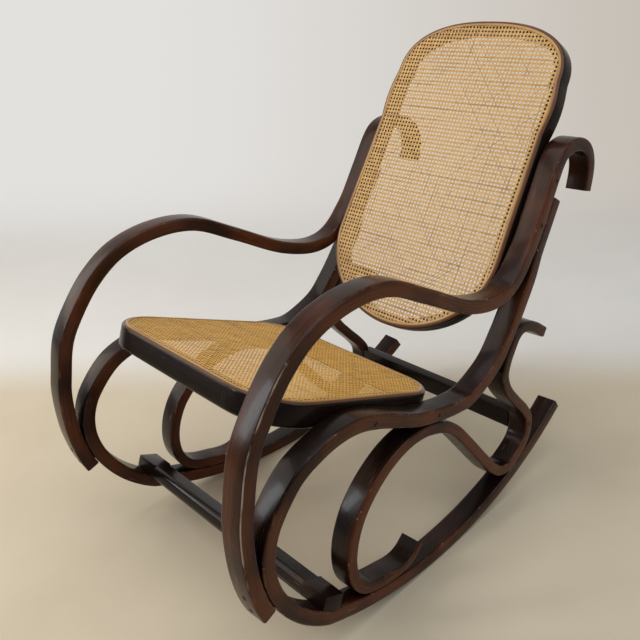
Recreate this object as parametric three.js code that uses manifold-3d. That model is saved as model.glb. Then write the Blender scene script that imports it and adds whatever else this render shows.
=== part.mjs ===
// Bentwood rocking chair: two bentwood sides, each of three bars screwed together, with a caned seat
// and a caned back between them. Millimetres. The chair faces -Y and +Z is up. The origin is on the
// floor, under the middle of the chair's length and width.

import * as THREE from 'three';
import Module from 'manifold-3d';

const wasm = await Module();
wasm.setup();
const { Manifold, Mesh: SolidMesh } = wasm;

// Sizes of the sides
const BAR_WIDTH = 48;
const BAR_THICK = 28.5;
const SCROLL_THICK = 24;
const BAR_EDGE = 4;
const FIT = 0.3;
const SIDE_HALF_SPACING = 275.2;
const SPLAY_DEG = 3.22;
const ROCKER_RADIUS = 840;
const ROCKER_FRONT_DEG = -26;
const ROCKER_REAR_DEG = 30.4;
const FRONT_STEPS = 6;
const REAR_STEPS = 9;
const CONTACT_HALF_DEG = 1;
const SIT_DEG = 2.3;
const MIDDLE_BEHIND_CONTACT = 34.7;

// Centre lines of the three bars of a side, as [distance behind the floor contact, height]
const ARM_LINE = [
  [-490.4, 213.4], [-496.6, 232], [-503.6, 264], [-508.5, 318], [-503, 400], [-493, 440], [-469, 512],
  [-430, 567], [-382, 616], [-320, 654], [-235, 670], [-142, 658], [-45, 604], [70, 534], [137, 508],
  [175, 501],
  [210, 503], [238, 513], [263, 530], [287, 553.5], [309.9, 578.2], [358.6, 647.7],
  [407.6, 717.3],
  [427, 731.5], [450, 737], [473, 736], [495, 729], [514, 716.5], [527, 698], [532, 677], [530, 655],
  [520, 622],
];
const SEAT_LINE = [
  [391.6, 643], [358.6, 595.9], [325.5, 548.8], [301, 503], [265, 455], [237, 421], [212, 394],
  [175, 360], [125, 337], [75, 325], [38, 329], [-23, 344.5], [-83, 366], [-137, 395], [-189, 423],
  [-240, 443.5], [-291, 449.5], [-339, 443.5], [-382, 430], [-413, 409], [-448, 373], [-461, 352],
  [-471, 326], [-476, 293], [-474, 264], [-465, 229], [-441, 180], [-408, 137],
];
const SCROLL_LINE = [
  [354, 351], [316, 380], [287, 394.5], [266, 397.5], [246.5, 389], [229, 369], [211, 343], [201, 312],
  [211, 276], [245, 229], [277, 190], [295, 158], [293, 124], [276, 98.5], [248, 82], [232, 76], [215, 70.5],
  [181, 79], [155, 102], [129, 136], [92, 188], [57, 237], [28, 275], [0, 301], [-31, 317.8],
  [-47, 324.2], [-63, 329.5], [-95, 334.5], [-130, 333], [-168, 323], [-205, 305], [-237, 282], [-262, 256],
  [-282, 222], [-293, 188], [-296, 160], [-293, 134], [-283, 110], [-267, 92], [-245, 80], [-213, 70],
  [-175, 60.8], [-150, 59.5], [-130, 65], [-105.6, 82.2],
];
const SCROLL_TAPER_SHARE = 0.045;
const SCROLL_TIP_SHARE = 0.4;

// Sizes of the seat
const SEAT_SLOPE_DEG = 24.7;
const SEAT_RISE = 584;
const SEAT_FRONT = 98;
const SEAT_REAR = 570;
const SEAT_FRONT_RADIUS = 102;
const SEAT_REAR_RADIUS = 93;
const SEAT_BOW = 3;
const SEAT_DEEP = 46;
const SEAT_RIM_WIDE = 30;

// Sizes of the back
const BACK_LEAN_DEG = 35.06;
const BACK_FOOT_Y = 383.6;
const BACK_FOOT_Z = 734.1;
const BACK_DEEP = 40;
const BACK_RIM_WIDE = 24;
const BACK_TOP = 282;
const BACK_SHOULDER = 158;
const BACK_HIP = -240;
const BACK_BOTTOM = -432;
const BACK_CLEARANCE = 2.2;
const BACK_TOP_FULLNESS = 2.4;
// How far the ring's sides stand out between the hips and the shoulders, as [distance along, extra]
const BACK_SWELL = [[42, 0], [70, 4.5], [98, 6.5], [130, 4.5]];

// Cane, groove and spline
const RIM_LAND = 6;
const GROOVE_WIDE = 7;
const GROOVE_DEEP = 5;
const SPLINE_PROUD = 1.2;
const CANE_THICK = 1.4;
const CANE_DROP = 1.7;

// Cross rails
const FRONT_RAIL_DEG = -26.5;
const FRONT_RAIL_WIDE = 44;
const FRONT_RAIL_HIGH = 33;
const FRONT_RAIL_BLOCK = 62;
const FRONT_RAIL_NECK_SHARE = 1.04;
const REAR_RAIL_Y = 294.5;
const REAR_RAIL_Z = 141;
const REAR_RAIL_WIDE = 23;
const REAR_RAIL_HIGH = 46;

// Screws
const SCREW_HEAD_RADIUS = 5.5;
const SCREW_HEAD_HIGH = 3;
const SCREW_SHANK_RADIUS = 2.5;
const SCREW_SLOT = 1.4;
const SCREW_SLOT_DEEP = 1.3;
const SCREW_SIDES = 10;
const RAIL_SIDES = 20;

const WOOD = { color: 0x43231a, roughness: 0.34, metalness: 0 };
const CANE = { color: 0xcfae74, roughness: 0.7, metalness: 0 };
const SPLINE = { color: 0xd2b27c, roughness: 0.55, metalness: 0 };
const STEEL = { color: 0x3a3532, roughness: 0.45, metalness: 1 };

const RAD = Math.PI / 180;
const TWO = 2;

// Shapes: closed bodies swept along flat lines

function body(points, faces) {
  const shape = new THREE.BufferGeometry();
  shape.setAttribute('position', new THREE.Float32BufferAttribute(points.flat(), TWO + 1));
  shape.setIndex(faces.flat());
  return shape;
}

function smoothLine(controls, perSpan) {
  const vectors = controls.map(([y, z]) => new THREE.Vector3(0, y, z));
  const curve = new THREE.CatmullRomCurve3(vectors, false, 'centripetal');
  const spans = controls.length - 1;
  const line = [];
  for (let span = 0; span < spans; span += 1) {
    for (let step = 0; step < perSpan; step += 1) {
      line.push(curve.getPoint((span + step / perSpan) / spans));
    }
  }
  line.push(curve.getPoint(1));
  return line;
}

function onRocker(degrees, inset) {
  const reach = ROCKER_RADIUS - inset;
  return [reach * Math.sin(degrees * RAD), ROCKER_RADIUS - reach * Math.cos(degrees * RAD)];
}

function barSection(width, thick) {
  const x = width / TWO;
  const n = thick / TWO;
  const e = Math.min(BAR_EDGE, n / TWO);
  return [
    [-x, -n + e], [-x + e, -n], [x - e, -n], [x, -n + e],
    [x, n - e], [x - e, n], [-x + e, n], [-x, n - e],
  ];
}

function sweepBar(line, width, thickAt) {
  const points = [];
  const faces = [];
  const count = line.length;
  line.forEach((at, index) => {
    const before = line[Math.max(index - 1, 0)];
    const after = line[Math.min(index + 1, count - 1)];
    const along = after.clone().sub(before).normalize();
    const out = new THREE.Vector3(0, -along.z, along.y);
    barSection(width, thickAt(index / (count - 1))).forEach(([x, n]) => {
      points.push([x, at.y + out.y * n, at.z + out.z * n]);
    });
  });
  const ring = points.length / count;
  for (let index = 0; index < count - 1; index += 1) {
    for (let side = 0; side < ring; side += 1) {
      const next = (side + 1) % ring;
      const a = index * ring + side;
      const b = index * ring + next;
      faces.push([a, a + ring, b], [b, a + ring, b + ring]);
    }
  }
  for (let side = 1; side < ring - 1; side += 1) {
    const last = (count - 1) * ring;
    faces.push([0, side, side + 1], [last, last + side + 1, last + side]);
  }
  return body(points, faces);
}

function sweepLoop(outline, section) {
  const count = outline.length;
  const points = [];
  const faces = [];
  outline.forEach((at, index) => {
    const before = outline[(index + count - 1) % count];
    const after = outline[(index + 1) % count];
    const along = after.clone().sub(before).normalize();
    section.forEach(([inward, high]) => {
      points.push([at.x - along.y * inward, at.y + along.x * inward, high]);
    });
  });
  const ring = section.length;
  for (let index = 0; index < count; index += 1) {
    for (let side = 0; side < ring; side += 1) {
      const a = index * ring + side;
      const b = index * ring + ((side + 1) % ring);
      const c = ((index + 1) % count) * ring + side;
      const d = ((index + 1) % count) * ring + ((side + 1) % ring);
      faces.push([a, b, c], [b, d, c]);
    }
  }
  return body(points, faces);
}

function plate(outline, inward, low, high) {
  const count = outline.length;
  const rim = outline.map((at, index) => {
    const before = outline[(index + count - 1) % count];
    const after = outline[(index + 1) % count];
    const along = after.clone().sub(before).normalize();
    return new THREE.Vector2(at.x - along.y * inward, at.y + along.x * inward);
  });
  const points = [...rim.map((at) => [at.x, at.y, low]), ...rim.map((at) => [at.x, at.y, high])];
  const faces = [];
  THREE.ShapeUtils.triangulateShape(rim, []).forEach(([a, b, c]) => {
    faces.push([a + count, b + count, c + count], [a, c, b]);
  });
  for (let index = 0; index < count; index += 1) {
    const next = (index + 1) % count;
    faces.push([index, next, index + count], [next, next + count, index + count]);
  }
  return body(points, faces);
}

// Solids and cuts

function toSolid(shape) {
  const mesh = new SolidMesh({
    numProp: TWO + 1,
    vertProperties: new Float32Array(shape.getAttribute('position').array),
    triVerts: new Uint32Array(shape.getIndex().array),
  });
  mesh.merge();
  const solid = new Manifold(mesh);
  return solid.volume() < 0 ? flipped(shape) : solid;
}

function flipped(shape) {
  const index = shape.getIndex().array;
  const turned = [];
  for (let face = 0; face < index.length; face += TWO + 1) {
    turned.push(index[face], index[face + TWO], index[face + 1]);
  }
  const mesh = new SolidMesh({
    numProp: TWO + 1,
    vertProperties: new Float32Array(shape.getAttribute('position').array),
    triVerts: new Uint32Array(turned),
  });
  mesh.merge();
  return new Manifold(mesh);
}

function fromSolid(solid) {
  const mesh = solid.getMesh();
  const shape = new THREE.BufferGeometry();
  const points = [];
  for (let at = 0; at < mesh.numVert; at += 1) {
    points.push(...mesh.position(at));
  }
  shape.setAttribute('position', new THREE.Float32BufferAttribute(points, TWO + 1));
  shape.setIndex([...mesh.triVerts]);
  return shape;
}

function screwSolid(reach) {
  const head = Manifold.cylinder(SCREW_HEAD_HIGH, SCREW_HEAD_RADIUS, SCREW_HEAD_RADIUS, SCREW_SIDES);
  const shank = Manifold.cylinder(reach, SCREW_SHANK_RADIUS, SCREW_SHANK_RADIUS, SCREW_SIDES);
  const slot = Manifold.cube([TWO * TWO * SCREW_HEAD_RADIUS, SCREW_SLOT, TWO * SCREW_SLOT_DEEP], true);
  return head.add(shank).subtract(slot);
}

function screwHole(reach) {
  const headRadius = SCREW_HEAD_RADIUS + FIT;
  const shankRadius = SCREW_SHANK_RADIUS + FIT;
  const deep = TWO * BAR_THICK + SCREW_HEAD_HIGH + FIT;
  const above = Manifold.cylinder(deep, headRadius, headRadius, SCREW_SIDES);
  const shank = Manifold.cylinder(reach + FIT, shankRadius, shankRadius, SCREW_SIDES);
  return above.translate([0, 0, -TWO * BAR_THICK]).add(shank);
}

// A screw starts at its head, on the surface, and goes along its direction
function placed(solid, from, towards) {
  const turn = new THREE.Quaternion();
  turn.setFromUnitVectors(new THREE.Vector3(0, 0, 1), towards.clone().normalize());
  const matrix = new THREE.Matrix4();
  matrix.compose(from, turn, new THREE.Vector3(1, 1, 1));
  return solid.transform([...matrix.elements]);
}

const chair = new THREE.Group();
chair.name = 'bentwood_rocking_chair';

function addMesh(name, solid, look) {
  const lifted = solid
    .translate([0, 0, -ROCKER_RADIUS])
    .rotate([SIT_DEG, 0, 0])
    .translate([0, -MIDDLE_BEHIND_CONTACT, ROCKER_RADIUS * Math.cos(CONTACT_HALF_DEG * RAD)]);
  const mesh = new THREE.Mesh(fromSolid(lifted), new THREE.MeshStandardMaterial(look));
  mesh.name = name;
  chair.add(mesh);
}

// The two sides
const ARC_DEGREES = [];
const FLAT_FRONT_DEG = -SIT_DEG - CONTACT_HALF_DEG;
const FLAT_REAR_DEG = -SIT_DEG + CONTACT_HALF_DEG;
for (let step = 0; step <= FRONT_STEPS; step += 1) {
  ARC_DEGREES.push(ROCKER_FRONT_DEG + ((FLAT_FRONT_DEG - ROCKER_FRONT_DEG) * step) / FRONT_STEPS);
}
for (let step = 0; step <= REAR_STEPS; step += 1) {
  ARC_DEGREES.push(FLAT_REAR_DEG + ((ROCKER_REAR_DEG - FLAT_REAR_DEG) * step) / REAR_STEPS);
}
const half = BAR_THICK / TWO;
const scrollHalf = SCROLL_THICK / TWO;
const onArc = (degrees) => onRocker(degrees, half);
const SPANS_TO_ARC = SEAT_LINE.length;
const seatControls = [...SEAT_LINE, onArc(ARC_DEGREES[0]), onArc(ARC_DEGREES[1]), onArc(ARC_DEGREES[TWO])];
const SMOOTH = 3;
const seatLine = smoothLine(seatControls, SMOOTH).slice(0, SPANS_TO_ARC * SMOOTH + 1);
ARC_DEGREES.slice(1).forEach((degrees) => {
  const [y, z] = onArc(degrees);
  seatLine.push(new THREE.Vector3(0, y, z));
});
const armLine = smoothLine(ARM_LINE, SMOOTH);
const scrollLine = smoothLine(SCROLL_LINE, TWO);

const armShape = sweepBar(armLine, BAR_WIDTH, () => BAR_THICK);
const seatBarShape = sweepBar(seatLine, BAR_WIDTH, () => BAR_THICK);
const scrollShape = sweepBar(scrollLine, BAR_WIDTH, (share) => {
  const left = (1 - share) / SCROLL_TAPER_SHARE;
  return left > 1 ? SCROLL_THICK : SCROLL_THICK * (SCROLL_TIP_SHARE + (1 - SCROLL_TIP_SHARE) * left);
});

function sidePoint(side, x, y, z) {
  const splay = side * SPLAY_DEG * RAD;
  return new THREE.Vector3(
    side * SIDE_HALF_SPACING + side * x * Math.cos(splay) - y * Math.sin(splay),
    side * x * Math.sin(splay) + y * Math.cos(splay),
    z,
  );
}

function sideSolid(side, shape) {
  return toSolid(shape).rotate([0, 0, side * SPLAY_DEG]).translate([side * SIDE_HALF_SPACING, 0, 0]);
}

// The nearest place on a line to a given point, and the direction out of the line there
function seatOn(line, y, z) {
  let best = 0;
  line.forEach((at, index) => {
    if (Math.hypot(at.y - y, at.z - z) < Math.hypot(line[best].y - y, line[best].z - z)) {
      best = index;
    }
  });
  const before = line[Math.max(best - 1, 0)];
  const after = line[Math.min(best + 1, line.length - 1)];
  const along = after.clone().sub(before).normalize();
  return { at: line[best], out: new THREE.Vector3(0, -along.z, along.y) };
}

// Screws in a side's own plane: name, bar of the head, place, bar thickness, head's face, reach, bored
// parts
const SIDE_SCREWS = [
  ['arm_foot_screw_low', 'arm', -495, 232, BAR_THICK, 1, 44, ['arm', 'seat']],
  ['arm_foot_screw_high', 'arm', -503, 268, BAR_THICK, 1, 44, ['arm', 'seat']],
  ['post_screw_low', 'seat', 336, 565, BAR_THICK, 1, 44, ['arm', 'seat']],
  ['post_screw_high', 'seat', 374, 619, BAR_THICK, 1, 44, ['arm', 'seat']],
  ['crest_screw', 'scroll', -50, 325, SCROLL_THICK, 1, 40, ['scroll', 'seat']],
  ['hook_screw', 'scroll', 241, 385, SCROLL_THICK, 1, 38, ['scroll', 'seat']],
  ['bend_screw', 'seat', 215, 43, BAR_THICK, -1, 40, ['seat', 'scroll']],
  ['loop_screw', 'seat', -215, 43, BAR_THICK, -1, 40, ['seat', 'scroll']],
  ['front_rail_screw', 'seat', -362, 92, BAR_THICK, -1, 50, ['seat', 'front']],
];

// Screws across the chair, from a side's outer face: name, place, reach, bored parts
const CROSS_SCREWS = [
  ['seat_screw_front', -206, 428, 66, ['seat', 'frame']],
  ['seat_screw_rear', -30, 347, 66, ['seat', 'frame']],
  ['back_screw_high', 385, 685, 64, ['arm', 'back']],
  ['back_screw_low', 330, 607, 64, ['arm', 'back']],
  ['rear_rail_screw', 294.5, 141, 78, ['scroll', 'rear']],
];

const cuts = { 1: { arm: [], seat: [], scroll: [], frame: [], back: [], front: [], rear: [] } };
cuts[-1] = { arm: [], seat: [], scroll: [], frame: [], back: [], front: [], rear: [] };

function screwAt(name, side, from, towards, reach, targets) {
  const label = side > 0 ? 'near' : 'far';
  addMesh(`${name}_${label}`, placed(screwSolid(reach), from, towards), STEEL);
  const hole = placed(screwHole(reach), from, towards);
  targets.forEach((target) => cuts[side][target].push(hole));
}

function bar(name, side, shape, kind) {
  const holes = cuts[side][kind];
  const label = side > 0 ? 'near' : 'far';
  let solid = sideSolid(side, shape);
  holes.forEach((hole) => {
    solid = solid.subtract(hole);
  });
  addMesh(`${name}_${label}`, solid, WOOD);
}

// The seat: a bent ring with a groove round its top, a cane panel and a spline in the groove
function arcPoints(x, y, radius, from, to, steps) {
  const points = [];
  for (let step = 0; step <= steps; step += 1) {
    const turn = (from + ((to - from) * step) / steps) * RAD;
    points.push(new THREE.Vector2(x + radius * Math.cos(turn), y + radius * Math.sin(turn)));
  }
  return points;
}

// The seat's side edges lie against the splayed sides
const splayTan = Math.tan(SPLAY_DEG * RAD);
const innerFace = (y) => SIDE_HALF_SPACING - y * splayTan - BAR_WIDTH / TWO / Math.cos(SPLAY_DEG * RAD) - FIT;
const slopeCos = Math.cos(SEAT_SLOPE_DEG * RAD);
const CONTACT_BEHIND_TIP = 475;
const CORNER_STEPS = 7;
const BOW_STEPS = 6;
const seatOutline = [];
const seatShift = CONTACT_BEHIND_TIP + (SEAT_DEEP / TWO) * Math.sin(SEAT_SLOPE_DEG * RAD);
const seatSide = (along) => innerFace(along * slopeCos - seatShift);
const flare = Math.atan(splayTan * slopeCos) / RAD;
const QUARTER = 90;
const HALF_TURN = 180;
function cornerArc(endAlong, radius, side, isFront) {
  const middle = isFront ? endAlong + radius : endAlong - radius;
  const x = seatSide(middle) - radius / Math.cos(flare * RAD);
  const start = isFront ? -QUARTER : flare;
  const stop = isFront ? flare : QUARTER;
  const arc = arcPoints(x, middle, radius, start, stop, CORNER_STEPS);
  return side > 0 ? arc : arc.map((at) => new THREE.Vector2(-at.x, at.y)).reverse();
}
seatOutline.push(...cornerArc(SEAT_FRONT, SEAT_FRONT_RADIUS, 1, true));
seatOutline.push(...cornerArc(SEAT_REAR, SEAT_REAR_RADIUS, 1, false));
seatOutline.push(...cornerArc(SEAT_REAR, SEAT_REAR_RADIUS, -1, false));
seatOutline.push(...cornerArc(SEAT_FRONT, SEAT_FRONT_RADIUS, -1, true));
const frontX = seatSide(SEAT_FRONT + SEAT_FRONT_RADIUS) - SEAT_FRONT_RADIUS;
for (let step = 1; step < BOW_STEPS; step += 1) {
  const share = (TWO * step) / BOW_STEPS - 1;
  seatOutline.push(new THREE.Vector2(share * frontX, SEAT_FRONT));
}
seatOutline.forEach((at) => {
  if (at.y < SEAT_FRONT + SEAT_FRONT_RADIUS) {
    const nearEdge = 1 - (at.y - SEAT_FRONT) / SEAT_FRONT_RADIUS;
    at.y -= SEAT_BOW * nearEdge * (1 - (at.x / innerFace(-CONTACT_BEHIND_TIP)) ** TWO);
  }
});

function rimSection(wide, deep, edge) {
  return [
    [edge, -deep], [0, edge - deep], [0, -edge], [edge, 0], [RIM_LAND, 0], [RIM_LAND, -GROOVE_DEEP],
    [RIM_LAND + GROOVE_WIDE, -GROOVE_DEEP], [RIM_LAND + GROOVE_WIDE, -CANE_DROP], [wide, -CANE_DROP],
    [wide, edge - deep], [wide - edge, -deep],
  ];
}

function splineSection() {
  const left = RIM_LAND + FIT;
  const right = RIM_LAND + GROOVE_WIDE - FIT;
  const round = GROOVE_WIDE / (TWO * TWO);
  return [[left, FIT - GROOVE_DEEP], [left, 0], [left + round, SPLINE_PROUD], [right - round, SPLINE_PROUD],
    [right, 0], [right, FIT - GROOVE_DEEP]];
}

const CANE_INSET = RIM_LAND + GROOVE_WIDE + FIT;
const seatPlace = (solid) => solid
  .rotate([-SEAT_SLOPE_DEG, 0, 0])
  .translate([0, -CONTACT_BEHIND_TIP, SEAT_RISE]);
const backPlace = (solid) => solid
  .rotate([QUARTER - BACK_LEAN_DEG, 0, 0])
  .translate([0, BACK_FOOT_Y, BACK_FOOT_Z]);

// The back: a bent ring, nearly straight at its sides, with the same groove, cane and spline
const backTaper = splayTan * Math.sin(BACK_LEAN_DEG * RAD);
const backHalf = (along) => innerFace(BACK_FOOT_Y) - BACK_CLEARANCE - along * backTaper;
const TOP_STEPS = 20;
const BOTTOM_STEPS = 20;
const backOutline = [];
for (let step = 0; step <= BOTTOM_STEPS; step += 1) {
  const turn = Math.PI + (Math.PI * step) / BOTTOM_STEPS;
  backOutline.push(new THREE.Vector2(
    backHalf(BACK_HIP) * Math.cos(turn),
    BACK_HIP + (BACK_HIP - BACK_BOTTOM) * Math.sin(turn),
  ));
}
BACK_SWELL.forEach(([along, extra]) => {
  backOutline.push(new THREE.Vector2(backHalf(along) + extra, along));
});
const power = TWO / BACK_TOP_FULLNESS;
for (let step = 0; step <= TOP_STEPS; step += 1) {
  const turn = (Math.PI * step) / TOP_STEPS;
  backOutline.push(new THREE.Vector2(
    backHalf(BACK_SHOULDER) * Math.sign(Math.cos(turn)) * Math.abs(Math.cos(turn)) ** power,
    BACK_SHOULDER + (BACK_TOP - BACK_SHOULDER) * Math.sin(turn) ** power,
  ));
}
[...BACK_SWELL].reverse().forEach(([along, extra]) => {
  backOutline.push(new THREE.Vector2(-backHalf(along) - extra, along));
});

// The front rail lies on the rockers, and its edges are rounded off between its square ends
const railInset = BAR_THICK + FIT + FRONT_RAIL_HIGH / TWO;
const [railY, railZ] = onRocker(FRONT_RAIL_DEG, railInset);
const railHalf = (y) => SIDE_HALF_SPACING - y * splayTan + BAR_WIDTH / TWO;
function frontRail() {
  const long = railHalf(railY);
  const block = Manifold.cube([TWO * long, FRONT_RAIL_WIDE, FRONT_RAIL_HIGH], true);
  const neck = FRONT_RAIL_WIDE * FRONT_RAIL_NECK_SHARE;
  const open = TWO * (long - FRONT_RAIL_BLOCK);
  const clear = Manifold.cube([open, TWO * FRONT_RAIL_WIDE, TWO * FRONT_RAIL_HIGH], true);
  const round = Manifold.cylinder(open, neck / TWO, neck / TWO, RAIL_SIDES, true).rotate([0, QUARTER, 0]);
  const rail = block.subtract(clear).add(round.intersect(block))
    .rotate([FRONT_RAIL_DEG, 0, 0])
    .translate([0, railY, railZ]);
  const bedLine = seatLine.slice(-ARC_DEGREES.length - TWO * SMOOTH);
  const saddle = sweepBar(bedLine, TWO * BAR_WIDTH, () => BAR_THICK + TWO * FIT);
  return rail.subtract(sideSolid(1, saddle)).subtract(sideSolid(-1, saddle));
}

function rearRail() {
  const long = innerFace(REAR_RAIL_Y + REAR_RAIL_WIDE) - FIT;
  return Manifold.cube([TWO * long, REAR_RAIL_WIDE, REAR_RAIL_HIGH], true)
    .translate([0, REAR_RAIL_Y, REAR_RAIL_Z]);
}

// Screws
const LINES = { arm: armLine, seat: seatLine, scroll: scrollLine };
[1, -1].forEach((side) => {
  SIDE_SCREWS.forEach(([name, line, y, z, thick, face, reach, targets]) => {
    const spot = seatOn(LINES[line], y, z);
    const outward = spot.out.clone().multiplyScalar(face);
    const start = spot.at.clone().add(outward.clone().multiplyScalar(thick / TWO));
    const from = sidePoint(side, 0, start.y, start.z);
    const towards = new THREE.Vector3(side * outward.y * Math.sin(SPLAY_DEG * RAD), -outward.y, -outward.z);
    screwAt(name, side, from, towards, reach, targets);
  });
  CROSS_SCREWS.forEach(([name, y, z, reach, targets]) => {
    const from = sidePoint(side, BAR_WIDTH / TWO, y, z);
    screwAt(name, side, from, new THREE.Vector3(-side, 0, 0), reach, targets);
  });
});

[1, -1].forEach((side) => {
  bar('arm_bar', side, armShape, 'arm');
  bar('seat_bar', side, seatBarShape, 'seat');
  bar('scroll_bar', side, scrollShape, 'scroll');
});

function withHoles(solid, kind) {
  return [...cuts[1][kind], ...cuts[-1][kind]].reduce((rest, hole) => rest.subtract(hole), solid);
}

const seatRing = sweepLoop(seatOutline, rimSection(SEAT_RIM_WIDE, SEAT_DEEP, BAR_EDGE));
const backRing = sweepLoop(backOutline, rimSection(BACK_RIM_WIDE, BACK_DEEP, BAR_EDGE));
addMesh('seat_frame', withHoles(seatPlace(toSolid(seatRing)), 'frame'), WOOD);
addMesh('back_frame', withHoles(backPlace(toSolid(backRing)), 'back'), WOOD);
const caneLow = FIT - CANE_DROP;
const caneHigh = caneLow + CANE_THICK;
addMesh('seat_cane', seatPlace(toSolid(plate(seatOutline, CANE_INSET, caneLow, caneHigh))), CANE);
addMesh('back_cane', backPlace(toSolid(plate(backOutline, CANE_INSET, caneLow, caneHigh))), CANE);
addMesh('seat_spline', seatPlace(toSolid(sweepLoop(seatOutline, splineSection()))), SPLINE);
addMesh('back_spline', backPlace(toSolid(sweepLoop(backOutline, splineSection()))), SPLINE);
addMesh('front_rail', withHoles(frontRail(), 'front'), WOOD);
addMesh('rear_rail', withHoles(rearRail(), 'rear'), WOOD);

export default chair;
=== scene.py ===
# %% [markdown]
# # A bentwood rocking chair with a caned seat and back
#
# The chair is made of long beech bars that were steamed and bent, then lacquered a dark red-brown. Each
# side has three of them: an arm, a seat bar that becomes the rocker, and a scroll that braces the two.
# Two bent rings hang between the sides and carry the woven cane. Everything here is laid over the packed
# CAD model, in metres, with +Z up and the chair facing -Y.

import math

import bpy
import numpy as np
from mathutils import Matrix, Vector


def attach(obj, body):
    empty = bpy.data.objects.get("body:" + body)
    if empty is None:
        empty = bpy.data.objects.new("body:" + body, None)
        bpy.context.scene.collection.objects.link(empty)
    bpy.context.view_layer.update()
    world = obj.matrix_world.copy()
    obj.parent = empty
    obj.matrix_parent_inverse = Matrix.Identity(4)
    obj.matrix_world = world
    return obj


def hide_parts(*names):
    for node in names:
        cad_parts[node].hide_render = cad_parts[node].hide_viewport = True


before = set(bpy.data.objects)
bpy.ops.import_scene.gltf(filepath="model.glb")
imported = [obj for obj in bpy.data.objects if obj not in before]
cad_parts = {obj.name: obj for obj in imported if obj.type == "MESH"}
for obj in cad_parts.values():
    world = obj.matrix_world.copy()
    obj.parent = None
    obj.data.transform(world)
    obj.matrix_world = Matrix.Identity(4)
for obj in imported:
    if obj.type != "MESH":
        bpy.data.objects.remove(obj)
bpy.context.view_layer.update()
bpy.ops.object.select_all(action="DESELECT")

# %% [markdown]
# ## Camera
#
# The camera stands a little above the chair's back, in front and to the sitter's left, and looks down at
# about 25 degrees. Its place, its turn and its focal length were worked out from the rockers, the arms
# and the back in the photograph, so nothing has to be shifted or cropped afterwards.

# %% Put up the camera
CAMERA_PLACE = (1.1163, -1.0029, 1.1613)
CAMERA_TURN = (64.3806, 4.5322, 47.7853)
CAMERA_LENS = 43.671
SENSOR_WIDE = 36
SCENE = bpy.context.scene

bpy.ops.object.camera_add(location=CAMERA_PLACE, rotation=[math.radians(turn) for turn in CAMERA_TURN])
camera = bpy.context.object
camera.data.lens = CAMERA_LENS
camera.data.sensor_width = SENSOR_WIDE
SCENE.camera = camera
SCENE.view_settings.view_transform = "Standard"
print("camera at", tuple(camera.location), "lens", camera.data.lens)

# %% [markdown]
# ## Where the sides, the seat and the back stand
#
# A piece is drawn flat and then set in place by one matrix: stood up, splayed, moved out, and rocked back
# by 2.3 degrees with the whole chair. An object could be turned and moved instead, but the matrix is
# applied to the mesh, so that every object stays at the origin, as the CAD nodes do. The sizes are the
# CAD's own.

# %% Matrices of the chair's planes
SIT_DEG = 2.3
ROCKER_RADIUS = 0.840
CONTACT_HALF_DEG = 1
MIDDLE_BEHIND_CONTACT = 0.0347
SIDE_HALF_SPACING = 0.2752
SPLAY_DEG = 3.22
SEAT_SLOPE_DEG = 24.7
SEAT_PLACE = (0, -0.475, 0.584)
BACK_LEAN_DEG = 35.06
BACK_PLACE = (0, 0.3836, 0.7341)
SIDES = {"near": 1, "far": -1}
STAND_UP = Matrix(((0, 0, 1, 0), (1, 0, 0, 0), (0, 1, 0, 0), (0, 0, 0, 1)))


def turned(degrees, axis):
    return Matrix.Rotation(math.radians(degrees), 4, axis)


lift = ROCKER_RADIUS * math.cos(math.radians(CONTACT_HALF_DEG))
ROCK_BACK = (Matrix.Translation((0, -MIDDLE_BEHIND_CONTACT, lift)) @ turned(SIT_DEG, "X")
             @ Matrix.Translation((0, 0, -ROCKER_RADIUS)))


def side_matrix(side):
    splay = turned(SIDES[side] * SPLAY_DEG, "Z")
    return ROCK_BACK @ Matrix.Translation((SIDES[side] * SIDE_HALF_SPACING, 0, 0)) @ splay @ STAND_UP


SEAT_MATRIX = ROCK_BACK @ Matrix.Translation(SEAT_PLACE) @ turned(-SEAT_SLOPE_DEG, "X")
BACK_MATRIX = ROCK_BACK @ Matrix.Translation(BACK_PLACE) @ turned(90 - BACK_LEAN_DEG, "X")
print("seat tip", tuple(SEAT_MATRIX.translation), "back middle", tuple(BACK_MATRIX.translation))

# %% [markdown]
# ## Helpers for flat lines
#
# Every bent bar lies in one plane, so its centre line can be drawn flat, as a curve through a few points.
# The centripetal Catmull-Rom curve is used because it passes through all its points and never loops
# where they come close together, much as a springy strip of wood bends round pegs.

# %% Draw a smooth line through points
MM = 0.001


def metres(points):
    return np.array(points, float) * MM


def span_points(before, start, end, after, shares):
    first = np.linalg.norm(start - before) ** 0.5
    middle = np.linalg.norm(end - start) ** 0.5
    last = np.linalg.norm(after - end) ** 0.5
    leave = (start - before) / first - (end - before) / (first + middle) + (end - start) / middle
    arrive = (end - start) / middle - (after - start) / (middle + last) + (after - end) / last
    leave, arrive = leave * middle, arrive * middle
    share = shares[:, None]
    cube = 2 * start - 2 * end + leave + arrive
    square = -3 * start + 3 * end - 2 * leave - arrive
    return start + leave * share + square * share ** 2 + cube * share ** 3


def smooth_line(points, steps):
    """A curve in metres through points in mm, with so many steps between each two."""
    points = metres(points)
    padded = np.vstack([2 * points[0] - points[1], points, 2 * points[-1] - points[-2]])
    shares = np.arange(steps) / steps
    spans = [span_points(*padded[at:at + 4], shares) for at in range(len(points) - 1)]
    return np.vstack(spans + [points[-1:]])


def steps_of(line):
    """The length of every step of a line."""
    return np.linalg.norm(np.diff(line, axis=0), axis=1)


low_arch = smooth_line([(0, 0), (100, 40), (200, 0)], 4)
print("an arch through 3 points takes", len(low_arch), "and is", steps_of(low_arch).sum(), "m long")

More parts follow.
